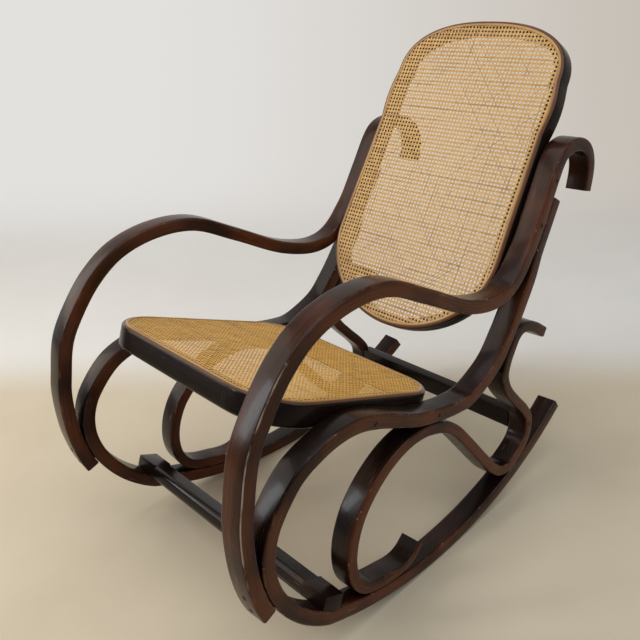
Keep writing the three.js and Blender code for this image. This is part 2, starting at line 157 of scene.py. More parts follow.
# %% [markdown]
# ## The bent bars
#
# Each bar is 48 mm wide and 28.5 mm thick, and the scroll is a little thinner. The arm rises from the
# front of the seat bar, arches over to the rear, dips, and climbs beside the back to a small curl. The
# seat bar starts behind the arm's upright part, runs forward under the seat, curls round in front, and
# goes on as the rocker. The scroll starts as a hook behind, bends tightly on the rocker, crests under the
# seat bar, loops again in front and ends in a tapered tip.
#
# The points stand about where the wood changes its bend. The rocker is the one true circle, so it is
# worked out instead, with a short flat where the chair rests on the floor.

# %% Centre lines of the bars
ARM_LINE = [
    (-490.4, 213.4), (-496.6, 232), (-503.6, 264), (-508.5, 318), (-503, 400), (-493, 440), (-469, 512),
    (-430, 567), (-382, 616), (-320, 654), (-235, 670), (-142, 658), (-45, 604), (70, 534), (137, 508),
    (175, 501), (210, 503), (238, 513), (263, 530), (287, 553.5), (309.9, 578.2), (358.6, 647.7),
    (407.6, 717.3), (427, 731.5), (450, 737), (473, 736), (495, 729), (514, 716.5), (527, 698), (532, 677),
    (530, 655), (520, 622),
]
SEAT_LINE = [
    (391.6, 643), (358.6, 595.9), (325.5, 548.8), (301, 503), (265, 455), (237, 421), (212, 394),
    (175, 360), (125, 337), (75, 325), (38, 329), (-23, 344.5), (-83, 366), (-137, 395), (-189, 423),
    (-240, 443.5), (-291, 449.5), (-339, 443.5), (-382, 430), (-413, 409), (-448, 373), (-461, 352),
    (-471, 326), (-476, 293), (-474, 264), (-465, 229), (-441, 180), (-408, 137),
]
SCROLL_LINE = [
    (354, 351), (316, 380), (287, 394.5), (266, 397.5), (246.5, 389), (229, 369), (211, 343), (201, 312),
    (211, 276), (245, 229), (277, 190), (295, 158), (293, 124), (276, 98.5), (248, 82), (232, 76),
    (215, 70.5), (181, 79), (155, 102), (129, 136), (92, 188), (57, 237), (28, 275), (0, 301),
    (-31, 317.8), (-47, 324.2), (-63, 329.5), (-95, 334.5), (-130, 333), (-168, 323), (-205, 305),
    (-237, 282), (-262, 256), (-282, 222), (-293, 188), (-296, 160), (-293, 134), (-283, 110),
    (-267, 92), (-245, 80), (-213, 70), (-175, 60.8), (-150, 59.5), (-130, 65), (-105.6, 82.2),
]
ARM_STEPS, SEAT_STEPS, SCROLL_STEPS = 7, 7, 6
ROCKER_FRONT_DEG, ROCKER_REAR_DEG, ROCKER_STEP_DEG = -26, 30.4, 0.6
LEAD_DEGS = (ROCKER_FRONT_DEG, -22.22, -18.4)
BAR_WIDE, BAR_THICK, SCROLL_THICK = 0.048, 0.0285, 0.024


def rocker_point(degrees):
    reach = (ROCKER_RADIUS - BAR_THICK / 2) / MM
    turn = math.radians(degrees)
    return reach * math.sin(turn), ROCKER_RADIUS / MM - reach * math.cos(turn)


arm_line = smooth_line(ARM_LINE, ARM_STEPS)
scroll_line = smooth_line(SCROLL_LINE, SCROLL_STEPS)
lead_into_rocker = [rocker_point(turn) for turn in LEAD_DEGS]
seat_line = smooth_line(SEAT_LINE + lead_into_rocker, SEAT_STEPS)[:len(SEAT_LINE) * SEAT_STEPS]
flat_front, flat_rear = -SIT_DEG - CONTACT_HALF_DEG, -SIT_DEG + CONTACT_HALF_DEG
arc_turns = [turn for turn in np.arange(ROCKER_FRONT_DEG, ROCKER_REAR_DEG, ROCKER_STEP_DEG)
             if not flat_front < turn < flat_rear]
arc_turns = sorted(arc_turns + [flat_front, flat_rear, ROCKER_REAR_DEG])
seat_line = np.vstack([seat_line, metres([rocker_point(turn) for turn in arc_turns])])
print("points on the arm, the seat bar and the scroll:", len(arm_line), len(seat_line), len(scroll_line))

# %% [markdown]
# ## Helpers that turn a line into wood
#
# A bar could be extruded face by face, but a curve with a section keeps the same width round every bend.
# The curve lies flat, so its section stays upright with the Z-up twist. Then it is converted to a mesh,
# and its doubled end points are merged.

# %% Sweep a section along flat lines
JOIN_WITHIN = 1e-6


def select_only(piece):
    bpy.ops.object.select_all(action="DESELECT")
    piece.select_set(True)
    bpy.context.view_layer.objects.active = piece


def flat(line):
    return [(x, y, 0) for x, y in line]


def add_spline(curve, points, closed):
    spline = curve.splines.new("POLY")
    spline.points.add(len(points) - 1)
    spline.points.foreach_set("co", [value for point in points for value in (*point, 1)])
    spline.use_cyclic_u = closed


def section_curve(outline):
    curve = bpy.data.curves.new("section", "CURVE")
    add_spline(curve, flat(outline), closed=True)
    piece = bpy.data.objects.new("section", curve)
    SCENE.collection.objects.link(piece)
    return piece


def sweep(name, lines, outline, closed=False):
    section = section_curve(outline)
    curve = bpy.data.curves.new(name, "CURVE")
    curve.dimensions = "3D"
    curve.twist_mode = "Z_UP"
    curve.bevel_mode = "OBJECT"
    curve.bevel_object = section
    curve.use_fill_caps = not closed
    for line in lines:
        add_spline(curve, line, closed)
    piece = bpy.data.objects.new(name, curve)
    SCENE.collection.objects.link(piece)
    select_only(piece)
    bpy.ops.object.convert(target="MESH")
    bpy.data.objects.remove(section)
    bpy.ops.object.mode_set(mode="EDIT")
    bpy.ops.mesh.select_all(action="SELECT")
    bpy.ops.mesh.remove_doubles(threshold=JOIN_WITHIN)
    bpy.ops.mesh.normals_make_consistent(inside=False)
    bpy.ops.mesh.select_all(action="DESELECT")
    bpy.ops.object.mode_set(mode="OBJECT")
    return piece


# %% [markdown]
# ## Section and ends of a bar
#
# The bars are flat strips whose long corners were rounded before they were bent, and whose sawn ends were
# eased with a file. A section with round corners gives the first, and a bevel of the two end faces gives
# the second.

# %% Round the corners and ease the ends
BAR_CORNER = 0.005
BAR_END_EASE = 0.003
SIDE_FACE_POINTS = 6


def round_corners(corners, steps=4):
    """A closed outline from [x, y, radius] corners. A curve leaves and meets the sides a radius away."""
    corners = [np.array(corner, float) for corner in corners]
    outline = []
    for at, corner in enumerate(corners):
        here, radius = corner[:2], corner[2]
        if radius == 0:
            outline.append(here)
            continue
        back = corners[at - 1][:2] - here
        on = corners[(at + 1) % len(corners)][:2] - here
        start = here + back / np.linalg.norm(back) * radius
        end = here + on / np.linalg.norm(on) * radius
        for step in range(steps + 1):
            share = step / steps
            outline.append((1 - share) ** 2 * start + 2 * share * (1 - share) * here + share ** 2 * end)
    return np.array(outline)


def bar_section(thick):
    x, y, radius = thick / 2, BAR_WIDE / 2, BAR_CORNER
    return round_corners([[-x, -y, radius], [x, -y, radius], [x, y, radius], [-x, y, radius]])


def ease_ends(piece, size):
    """Bevels the rims of the two end faces, the only ones with many points."""
    select_only(piece)
    for face in piece.data.polygons:
        face.select = len(face.vertices) > SIDE_FACE_POINTS
    bpy.ops.object.mode_set(mode="EDIT")
    bpy.ops.mesh.bevel(offset=size, segments=3, affect="EDGES")
    bpy.ops.mesh.select_all(action="DESELECT")
    bpy.ops.object.mode_set(mode="OBJECT")


def smooth(piece, degrees=40):
    select_only(piece)
    bpy.ops.object.shade_smooth_by_angle(angle=math.radians(degrees))
    bpy.ops.object.select_all(action="DESELECT")


print("a bar's section has", len(bar_section(BAR_THICK)), "points")

# %% [markdown]
# ## Grain that follows the wood
#
# In a bent bar the grain runs round the bends with the wood, so a pattern on plain coordinates would cut
# across it. Each point of a piece therefore carries three lengths: how far it is along the line, how far
# across, and how far out from it. The finishes read these as an attribute named grain.
#
# Other attributes tell the lacquer where it is. Edge is 1 on the rounded corners, where it wears first.
# Side is 1 on the faces that look left and right, which are painted lighter and redder, a painted light, so
# that the broad faces stay darker, a painted shade. It is raised all over on the arms, and below 0 on the
# rings and rails, which are painted darker all over. Scuff marks the arms' outer front corner. Land marks
# the bare brown rims beside the cane, and also the ring's inner wall, which is painted a lighter brown
# there, a painted light that shows through the cane's holes.

# %% Measure each point along its line
EDGE_FULL_SHARE = 0.6


def points_of(piece):
    flat_values = np.empty(len(piece.data.vertices) * 3)
    piece.data.vertices.foreach_get("co", flat_values)
    return flat_values.reshape(-1, 3)


def store(piece, name, values):
    kind = "FLOAT_VECTOR" if values.ndim == 2 else "FLOAT"
    attribute = piece.data.attributes.new(name, kind, "POINT")
    attribute.data.foreach_set("vector" if values.ndim == 2 else "value", values.ravel())


def along_line(points, line, closed):
    """How far along the line the nearest place to each point is, and how far out the point stands."""
    starts = line if closed else line[:-1]
    ends = np.roll(line, -1, 0) if closed else line[1:]
    spans = ends - starts
    lengths = np.linalg.norm(spans, axis=1)
    before = np.concatenate([[0], np.cumsum(lengths)[:-1]])
    apart = points[:, None, :2] - starts[None]
    shares = np.clip((apart * spans).sum(2) / lengths ** 2, 0, 1)
    away = np.linalg.norm(apart - shares[:, :, None] * spans, axis=2)
    best = away.argmin(1)
    rows = np.arange(len(points))
    cross = spans[best, 0] * apart[rows, best, 1] - spans[best, 1] * apart[rows, best, 0]
    return before[best] + shares[rows, best] * lengths[best], cross / lengths[best]


def edge_wear(across, out, wide, thick, radius):
    near_side = np.clip((np.abs(across) - wide / 2 + radius) / radius, 0, 1)
    near_face = np.clip((np.abs(out) - thick / 2 + radius) / radius, 0, 1)
    return np.clip(np.minimum(near_side, near_face) / EDGE_FULL_SHARE, 0, 1)


for name, line in (("arm", arm_line), ("seat", seat_line), ("scroll", scroll_line)):
    print("the", name, "bar is", round(steps_of(line).sum(), 3), "m long along its middle")

# %% [markdown]
# ## Helpers for the finishes
#
# A finish is a small graph of nodes. It could be drawn in the node editor, but as code every number can
# be read. These helpers add a node, set its inputs and join it up, so that each finish below reads as a
# recipe. Most recipes begin with noise that is stretched by three numbers: its waves a metre along,
# across and out of the wood.

# %% Node helpers
def new_finish(name, **fixed):
    finish = bpy.data.materials.new(name)
    finish.use_nodes = True
    shader = finish.node_tree.nodes["Principled BSDF"]
    for socket, value in fixed.items():
        shader.inputs[socket.replace("_", " ")].default_value = value
    print("new finish", name)
    return finish, shader


def join(finish, socket, value):
    finish.node_tree.links.new(value, socket)


def add(finish, kind, inputs=None, **settings):
    node = finish.node_tree.nodes.new(kind)
    for name, value in settings.items():
        setattr(node, name, value)
    for name, value in (inputs or {}).items():
        if isinstance(value, bpy.types.NodeSocket):
            join(finish, node.inputs[name], value)
        else:
            node.inputs[name].default_value = value
    return node


def stored(finish, name, output="Fac"):
    return add(finish, "ShaderNodeAttribute", attribute_name=name).outputs[output]


def noise(finish, vector, stretch, detail, rough):
    mapped = add(finish, "ShaderNodeMapping", {"Vector": vector, "Scale": stretch})
    made = add(finish, "ShaderNodeTexNoise",
               {"Vector": mapped.outputs["Vector"], "Scale": 1, "Detail": detail, "Roughness": rough})
    return made.outputs["Fac"]


def ramp(finish, value, *stops):
    node = add(finish, "ShaderNodeValToRGB", {"Fac": value})
    elements = node.color_ramp.elements
    while len(elements) < len(stops):
        elements.new(0.5)
    for element, (place, colour) in zip(elements, stops):
        element.position = place
        element.color = (*colour, 1) if isinstance(colour, tuple) else (colour, colour, colour, 1)
    return node.outputs["Color"]


def specks(finish, vector, stretch, detail, rough, none_at, full_at, most):
    """Noise cut into marks: none up to one level of it, and the most from another level on."""
    return ramp(finish, noise(finish, vector, stretch, detail, rough), (none_at, 0.0), (full_at, most))


# %% Helpers that reckon and blend
def reckoned(finish, kind, first, second):
    return add(finish, "ShaderNodeMath", {0: first, 1: second}, operation=kind).outputs[0]


def times(finish, first, second):
    return reckoned(finish, "MULTIPLY", first, second)


def total(finish, first, *others):
    for other in others:
        first = reckoned(finish, "ADD", first, other)
    return first


def greatest(finish, first, *others):
    for other in others:
        first = reckoned(finish, "MAXIMUM", first, other)
    return first


def blend_colours(finish, share, first, second):
    node = add(finish, "ShaderNodeMix", data_type="RGBA")
    for identifier, value in (("Factor_Float", share), ("A_Color", first), ("B_Color", second)):
        socket = next(one for one in node.inputs if one.identifier == identifier)
        if isinstance(value, bpy.types.NodeSocket):
            join(finish, socket, value)
        else:
            socket.default_value = (*value, 1)
    return next(one for one in node.outputs if one.identifier == "Result_Color")


def bump(finish, shader, *layers):
    """Each layer is a height and its depth in metres. They are stacked and sent to the shader."""
    normal = None
    for height, deep in layers:
        inputs = {"Height": height, "Distance": deep, "Strength": 1.0}
        if normal is not None:
            inputs["Normal"] = normal
        normal = add(finish, "ShaderNodeBump", inputs).outputs["Normal"]
    join(finish, shader.inputs["Normal"], normal)


# %% [markdown]
# ## Lacquered wood
#
# The stain is a dark red-brown that is nearly black in places. The broad faces are painted darker, a
# painted shade, and the faces that look left and right lighter and redder, a painted light. Fine streaks
# follow the grain, broad bands and patches darken and lighten the bars, and the corners are rubbed back to
# brown. On top of
# that come the marks of use: chips out of the corners, a scuffed stretch on the arms, and a few fine pale
# scratches. A plain brown with a wood picture on it would look new, so each of these is a layer of noise.
#
# The lacquer itself is satin, with a thin coat that only gleams where a window mirrors in it. Patches and
# streaks also drive its roughness and its bump, from the bending and the sanding.

# %% Stain the wood and wear it
DARK_STAIN = (0.0085, 0.0038, 0.0026)
MIDDLE_STAIN = (0.030, 0.0100, 0.0050)
RED_STAIN = (0.092, 0.027, 0.0105)
RUBBED = (0.17, 0.072, 0.030)
SCRATCH = (0.50, 0.42, 0.34)
LAND_AND_LIT_WALL_BROWN = (0.17, 0.075, 0.034)
STREAK_SHARE, BAND_SHARE, PATCH_SHARE = 0.16, 0.30, 0.54
SIDE_LIGHT_SHARE, OVERALL_SHIFT = 0.17, -0.10


def stain_colour(finish, streaks, bands, patches):
    # The side faces are painted lighter and redder than the broad faces, a painted light; the rings and
    # rails are painted darker all over.
    painted_light_shift = total(finish, times(finish, stored(finish, "side"), SIDE_LIGHT_SHARE), OVERALL_SHIFT)
    tone = total(finish, times(finish, streaks, STREAK_SHARE), times(finish, bands, BAND_SHARE), painted_light_shift,
                 times(finish, patches, PATCH_SHARE))
    return ramp(finish, tone, (0.38, DARK_STAIN), (0.5, MIDDLE_STAIN), (0.62, RED_STAIN))


def bared_share(finish, grain, edge):
    """Chips on the corners, scuffs on the arms and fine scratches, each from 0 to 1."""
    chipped = specks(finish, grain, (130, 210, 210), detail=3, rough=0.5,
                     none_at=0.70, full_at=0.73, most=0.9)
    scuffed = specks(finish, grain, (13, 90, 90), detail=6, rough=0.62,
                     none_at=0.42, full_at=0.52, most=1.0)
    scratch_line = specks(finish, grain, (9, 900, 900), detail=1, rough=0.4,
                          none_at=0.745, full_at=0.77, most=1.0)
    scratch_place = specks(finish, grain, (14, 22, 22), detail=2, rough=0.5,
                           none_at=0.57, full_at=0.65, most=0.8)
    return greatest(finish, times(finish, edge, chipped), times(finish, stored(finish, "scuff"), scuffed),
                    times(finish, scratch_line, scratch_place))


# %% Mix the lacquered wood
def make_wood():
    finish, shader = new_finish("lacquered_wood", Coat_Weight=0.09, Coat_Roughness=0.1,
                                Specular_IOR_Level=0.13)
    grain = stored(finish, "grain", "Vector")
    edge = stored(finish, "edge")
    streaks = noise(finish, grain, (7, 420, 420), detail=5, rough=0.6)
    pores = noise(finish, grain, (60, 1800, 1800), detail=2, rough=0.6)
    bands = noise(finish, grain, (3, 34, 34), detail=3, rough=0.55)
    patches = noise(finish, grain, (6, 9, 9), detail=2, rough=0.5)
    stain = stain_colour(finish, streaks, bands, patches)
    rubs = specks(finish, grain, (38, 60, 60), detail=5, rough=0.65, none_at=0.53, full_at=0.70, most=0.6)
    worn = times(finish, edge, rubs)
    colour = blend_colours(finish, worn, stain, RUBBED)
    colour = blend_colours(finish, bared_share(finish, grain, edge), colour, SCRATCH)
    # Land brown on the bare rims beside the cane, which is their own colour, and on the ring's inner wall,
    # which is a painted light seen through the cane's holes.
    land_and_lit_wall_share = times(finish, stored(finish, "land_and_lit_wall"), ramp(finish, bands, (0.3, 0.45), (0.6, 0.95)))
    join(finish, shader.inputs["Base Color"], blend_colours(finish, land_and_lit_wall_share, colour, LAND_AND_LIT_WALL_BROWN))
    rough = total(finish, times(finish, patches, 0.2), times(finish, streaks, 0.12),
                  times(finish, worn, 0.25), 0.1)
    join(finish, shader.inputs["Roughness"], rough)
    bump(finish, shader, (patches, 0.0012), (streaks, 0.00012), (pores, 0.00004))
    return finish


WOOD = make_wood()
print("made", WOOD.name, "with", len(WOOD.node_tree.nodes), "nodes")

# %% [markdown]
# ## Bending the bars
#
# On the real chair each bar is one steamed strip. Here it is one sweep along its line. The scroll's free
# end is whittled thinner by moving its points towards the line, and the arms get their scuffed stretch
# where knees and shoes brush past. Each bar starts elsewhere in the noise, so that no two look alike.
#
# When a piece is ready, it is handed over: its place goes into its mesh, it gets its finish, it is told
# which body it rides on, and the CAD nodes it stands for are hidden.

# %% Hand a piece over
def finish_piece(piece, matrix, finish, slot, *nodes):
    piece.data.transform(matrix)
    piece.data.materials.clear()
    piece.data.materials.append(finish)
    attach(piece, "root")
    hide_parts(*nodes)
    print(piece.name, len(piece.data.vertices), "points, for", ", ".join(nodes))


# %% Thin the tip and scuff the arm
TIP_TAPER_LONG, TIP_TAPER_SHARE = 0.105, 0.42
SCUFF_FROM, SCUFF_TO, SCUFF_FADE = 0.06, 0.46, 0.05
SCUFF_REACH, SCUFF_SOFT = 0.0028, 0.0008


def across_of(line, along):
    """The direction out of the line at each length along it."""
    steps = steps_of(line)
    ends = np.cumsum(steps)
    at = np.clip(np.searchsorted(ends, along), 0, len(steps) - 1)
    span = np.diff(line, axis=0)[at] / steps[at][:, None]
    return np.stack([-span[:, 1], span[:, 0]], 1)


def taper_tip(piece, points, line, along, out):
    left = np.clip((steps_of(line).sum() - along) / TIP_TAPER_LONG, 0, 1)
    keep = TIP_TAPER_SHARE + (1 - TIP_TAPER_SHARE) * left
    points[:, :2] -= across_of(line, along) * (out * (1 - keep))[:, None]
    piece.data.vertices.foreach_set("co", points.ravel())


def scuff_share(across, out, along):
    """The outer front corner of an arm, between two lengths along it."""
    away = np.hypot(across - BAR_WIDE / 2, out - BAR_THICK / 2)
    on_corner = np.clip((SCUFF_REACH - away) / SCUFF_SOFT, 0, 1)
    in_stretch = np.clip(np.minimum(along - SCUFF_FROM, SCUFF_TO - along) / SCUFF_FADE, 0, 1)
    return on_corner * in_stretch


# %% Bend the bars
ARM_BROWN = 0.45
GRAIN_PER_SIDE, GRAIN_PER_LETTER = 3.0, 7.0


def bend_bar(name, side, line, thick):
    piece = sweep(f"{name}_wood_{side}", [flat(line)], bar_section(thick))
    ease_ends(piece, BAR_END_EASE)
    points = points_of(piece)
    along, out = along_line(points, line, closed=False)
    store(piece, "edge", edge_wear(points[:, 2], out, BAR_WIDE, thick, BAR_CORNER))
    # The faces that look left and right get the painted light, and the arms get part of it all over.
    painted_lit_sides = np.clip((np.abs(points[:, 2]) - BAR_WIDE / 2 + BAR_CORNER) / BAR_CORNER, 0, 1)
    store(piece, "side", np.maximum(painted_lit_sides, ARM_BROWN if name == "arm_bar" else 0))
    if name == "scroll_bar":
        taper_tip(piece, points, line, along, out)
    if name == "arm_bar":
        store(piece, "scuff", scuff_share(points[:, 2] * SIDES[side], out, along))
    start = GRAIN_PER_SIDE * SIDES[side] + GRAIN_PER_LETTER * len(name)
    store(piece, "grain", np.stack([along + start, points[:, 2], out], 1))
    smooth(piece)
    node = f"{name}_{side}"
    finish_piece(piece, side_matrix(side), WOOD, "lacquered_wood", node)


for side in SIDES:
    bend_bar("arm_bar", side, arm_line, BAR_THICK)
    bend_bar("seat_bar", side, seat_line, BAR_THICK)
    bend_bar("scroll_bar", side, scroll_line, SCROLL_THICK)

# %% [markdown]
# ## The outline of the seat
#
# The seat is one strip bent into a ring and scarfed at the joint: wider in front, with four round corners
# and a front edge that bows out a little. It could be drawn by hand, but it has to fit between the two
# splayed sides, so its sides are worked out from theirs, as the CAD does, only with more points.

# %% Outline of the seat
FIT = 0.3
SPLAY_TAN = math.tan(math.radians(SPLAY_DEG))
SEAT_FRONT, SEAT_REAR, SEAT_DEEP = 98, 570, 46
SEAT_FRONT_RADIUS, SEAT_REAR_RADIUS, SEAT_BOW = 102, 93, 3
CONTACT_BEHIND_TIP = 475
CORNER_POINTS, FRONT_POINTS = 15, 20


def inner_face(behind):
    """How far from the middle a side's inner face stands, less the fit, at a length behind the contact."""
    half_bar = BAR_WIDE / 2 / MM / math.cos(math.radians(SPLAY_DEG))
    return SIDE_HALF_SPACING / MM - behind * SPLAY_TAN - half_bar - FIT


slope = math.radians(SEAT_SLOPE_DEG)
flare = math.atan(SPLAY_TAN * math.cos(slope))


def seat_side(along):
    return inner_face(along * math.cos(slope) - CONTACT_BEHIND_TIP - SEAT_DEEP / 2 * math.sin(slope))


def seat_corner(middle, radius, turn_from, turn_to):
    x = seat_side(middle) - radius / math.cos(flare)
    turns = np.linspace(turn_from, turn_to, CORNER_POINTS)
    return [(x + radius * math.cos(turn), middle + radius * math.sin(turn)) for turn in turns]


def mirrored(points):
    return [(-x, y) for x, y in reversed(points)]


right = (seat_corner(SEAT_FRONT + SEAT_FRONT_RADIUS, SEAT_FRONT_RADIUS, -math.pi / 2, flare)
         + seat_corner(SEAT_REAR - SEAT_REAR_RADIUS, SEAT_REAR_RADIUS, flare, math.pi / 2))
front_reach = right[0][0]
front_edge = [(x, SEAT_FRONT) for x in np.linspace(-front_reach, front_reach, FRONT_POINTS)[1:-1]]
seat_outline = np.array(right + mirrored(right) + front_edge)
bowed = seat_outline[:, 1] < SEAT_FRONT + SEAT_FRONT_RADIUS
near_edge = 1 - (seat_outline[bowed, 1] - SEAT_FRONT) / SEAT_FRONT_RADIUS
bow_share = 1 - (seat_outline[bowed, 0] / inner_face(-CONTACT_BEHIND_TIP)) ** 2
seat_outline[bowed, 1] -= SEAT_BOW * near_edge * bow_share
print("seat outline", len(seat_outline), "points")

# %% [markdown]
# ## The outline of the back
#
# The back is a taller ring: half an ellipse at its foot, flanks that follow the splay, a slight swelling
# above the middle and a full, rather square crown. The crown is a superellipse, because two round corners
# with a straight line between them would show where the line begins.

# %% Outline of the back
BACK_TOP, BACK_SHOULDER, BACK_HIP, BACK_BOTTOM = 282, 158, -240, -432
BACK_FULLNESS, BACK_CLEARANCE = 2.4, 2.2
BACK_SWELL = [(42, 0), (56, 2.4), (70, 4.5), (84, 5.9), (98, 6.5), (114, 6.0), (130, 4.5), (146, 1.9)]
FLANK_LOW, FLANK_HIGH = -220, 20
FOOT_POINTS, FLANK_POINTS, CROWN_POINTS = 45, 12, 49
back_taper = SPLAY_TAN * math.sin(math.radians(BACK_LEAN_DEG))


def back_half(along):
    return inner_face(BACK_PLACE[1] / MM) - BACK_CLEARANCE - along * back_taper


def powered(value, power):
    return math.copysign(abs(value) ** power, value)


foot = [(back_half(BACK_HIP) * math.cos(turn), BACK_HIP + (BACK_HIP - BACK_BOTTOM) * math.sin(turn))
        for turn in np.linspace(math.pi, 2 * math.pi, FOOT_POINTS)]
flank = [(back_half(along), along) for along in np.linspace(FLANK_LOW, FLANK_HIGH, FLANK_POINTS)]
flank += [(back_half(along) + extra, along) for along, extra in BACK_SWELL]
crown = [(back_half(BACK_SHOULDER) * powered(math.cos(turn), 2 / BACK_FULLNESS),
          BACK_SHOULDER + (BACK_TOP - BACK_SHOULDER) * math.sin(turn) ** (2 / BACK_FULLNESS))
         for turn in np.linspace(0, math.pi, CROWN_POINTS)]
back_outline = np.array(foot + flank + crown + mirrored(flank))
print("back outline", len(back_outline), "points")

# %% [markdown]
# ## Rattan spline
#
# The spline that holds the cane in its groove is a round rattan core, smoother and warmer than the cane.
# It has fine fibres along it, and it changes its shade slowly from one stretch to the next. A bought
# texture would have to be wrapped round the ring, while noise on the grain attribute follows it by itself.

# %% Mix the rattan
SPLINE_TAN = (0.43, 0.235, 0.070)
SPLINE_SHADE = (0.27, 0.120, 0.034)


def make_rattan():
    finish, shader = new_finish("rattan_spline", Coat_Weight=0.2, Coat_Roughness=0.2)
    grain = stored(finish, "grain", "Vector")
    fibres = noise(finish, grain, (12, 1500, 1500), detail=3, rough=0.6)
    stretches = noise(finish, grain, (7, 60, 60), detail=2, rough=0.5)
    tone = total(finish, times(finish, fibres, 0.4), times(finish, stretches, 0.6))
    colour = ramp(finish, tone, (0.38, SPLINE_SHADE), (0.55, SPLINE_TAN))
    join(finish, shader.inputs["Base Color"], colour)
    join(finish, shader.inputs["Roughness"], total(finish, times(finish, fibres, 0.25), 0.22))
    bump(finish, shader, (fibres, 0.0001))
    return finish


RATTAN = make_rattan()

# %% [markdown]
# ## The two rings and their splines
#
# A groove runs round the front face of each ring, and inside it the wood is cut a little lower, so that
# the cane lies flush. The cane's edge is tucked into the groove and a spline is pressed in on top of it.
# Both could be cut with booleans, but a groove of the same section all the way round is cleaner as part
# of the swept section.

# %% Sections of the ring and of the spline
SEAT_RIM_WIDE, BACK_RIM_WIDE, BACK_DEEP = 30, 24, 40
RIM_LAND, RIM_EDGE, RIM_ROUND, LAND_ROUND = 6, 4, 2.6, 1.4
GROOVE_WIDE, GROOVE_DEEP, GROOVE_LIP, CANE_LIP = 7, 5, 0.5, 0.6
CANE_DROP, INNER_ROUND = 1.7, 1.5
SPLINE_PROUD, SPLINE_SHOULDER, SPLINE_TOP_ROUND, SPLINE_SIDE_ROUND = 1.2, 1.4, 1.1, 0.6
RING_CORNER_STEPS = 3


def inward_section(corners):
    """A section that is drawn from the outline inwards, in mm, turned the way the sweep takes it."""
    outline = round_corners(corners, RING_CORNER_STEPS)
    return np.stack([-outline[:, 0], outline[:, 1]], 1) * MM


def ring_section(wide, deep):
    low, groove_end = -deep, RIM_LAND + GROOVE_WIDE
    return inward_section([
        [RIM_EDGE, low, RIM_ROUND], [0, low + RIM_EDGE, RIM_ROUND], [0, -RIM_EDGE, RIM_ROUND],
        [RIM_EDGE, 0, LAND_ROUND], [RIM_LAND, 0, GROOVE_LIP], [RIM_LAND, -GROOVE_DEEP, 0],
        [groove_end, -GROOVE_DEEP, 0], [groove_end, -CANE_DROP, CANE_LIP], [wide, -CANE_DROP, INNER_ROUND],
        [wide, low + RIM_EDGE, RIM_ROUND], [wide - RIM_EDGE, low, RIM_ROUND]])


def spline_section():
    left, right = RIM_LAND + FIT, RIM_LAND + GROOVE_WIDE - FIT
    low = -GROOVE_DEEP + FIT
    return inward_section([
        [left, low, 0], [left, 0, SPLINE_SIDE_ROUND],
        [left + SPLINE_SHOULDER, SPLINE_PROUD, SPLINE_TOP_ROUND],
        [right - SPLINE_SHOULDER, SPLINE_PROUD, SPLINE_TOP_ROUND],
        [right, 0, SPLINE_SIDE_ROUND], [right, low, 0]])


print("section of a ring", len(ring_section(SEAT_RIM_WIDE, SEAT_DEEP)), "points, of a spline",
      len(spline_section()))

# %% Sweep the rings and the splines
RING_SIDE = -0.45
RING_WEAR = 0.0035
LAND_DEEP, LAND_OVER = 0.003, 0.0002
INNER_WALL = 1


def make_ring(name, line, wide, deep, matrix):
    piece = sweep(f"{name}_frame_wood", [flat(line)], ring_section(wide, deep), closed=True)
    points = points_of(piece)
    along, inward = along_line(points, line, closed=True)
    middle_in, middle_high = inward - wide * MM / 2, points[:, 2] + deep * MM / 2
    store(piece, "edge", edge_wear(middle_high, middle_in, deep * MM, wide * MM, RING_WEAR))
    on_land = (points[:, 2] > -LAND_DEEP) & (inward < RIM_LAND * MM + LAND_OVER)
    # The inner wall is painted with the land brown, a painted light where it shows through the cane's
    # holes.
    painted_lit_inner_wall = inward > (wide - INNER_WALL) * MM
    store(piece, "land_and_lit_wall", (on_land | painted_lit_inner_wall).astype(float))
    store(piece, "side", np.full(len(points), RING_SIDE))
    store(piece, "grain", np.stack([along + len(name), points[:, 2], inward], 1))
    smooth(piece)
    finish_piece(piece, matrix, WOOD, "lacquered_wood", f"{name}_frame")


def make_spline(name, line, matrix):
    piece = sweep(f"{name}_spline_rattan", [flat(line)], spline_section(), closed=True)
    points = points_of(piece)
    along, inward = along_line(points, line, closed=True)
    store(piece, "grain", np.stack([along, points[:, 2], inward], 1))
    smooth(piece)
    finish_piece(piece, matrix, RATTAN, "rattan_spline", f"{name}_spline")


make_ring("seat", seat_outline * MM, SEAT_RIM_WIDE, SEAT_DEEP, SEAT_MATRIX)
make_spline("seat", seat_outline * MM, SEAT_MATRIX)
make_ring("back", back_outline * MM, BACK_RIM_WIDE, BACK_DEEP, BACK_MATRIX)
make_spline("back", back_outline * MM, BACK_MATRIX)

# %% [markdown]
# ## Cane
#
# Cane is the glossy bark of the rattan palm, split into strands a few millimetres wide. Each strand has
# its own straw colour, with brown runs here and there and fine fibres along it. The strands could each
# have a finish of their own, but one noise that is drawn out along the strands and quick across them
# colours them all. The seat's cane is yellower than the back's.

# %% Mix the cane
BACK_PALE, BACK_STRAW = (0.70, 0.455, 0.180), (0.52, 0.290, 0.085)
SEAT_PALE, SEAT_STRAW = (0.79, 0.465, 0.100), (0.58, 0.290, 0.048)
CANE_BROWN = (0.27, 0.125, 0.036)


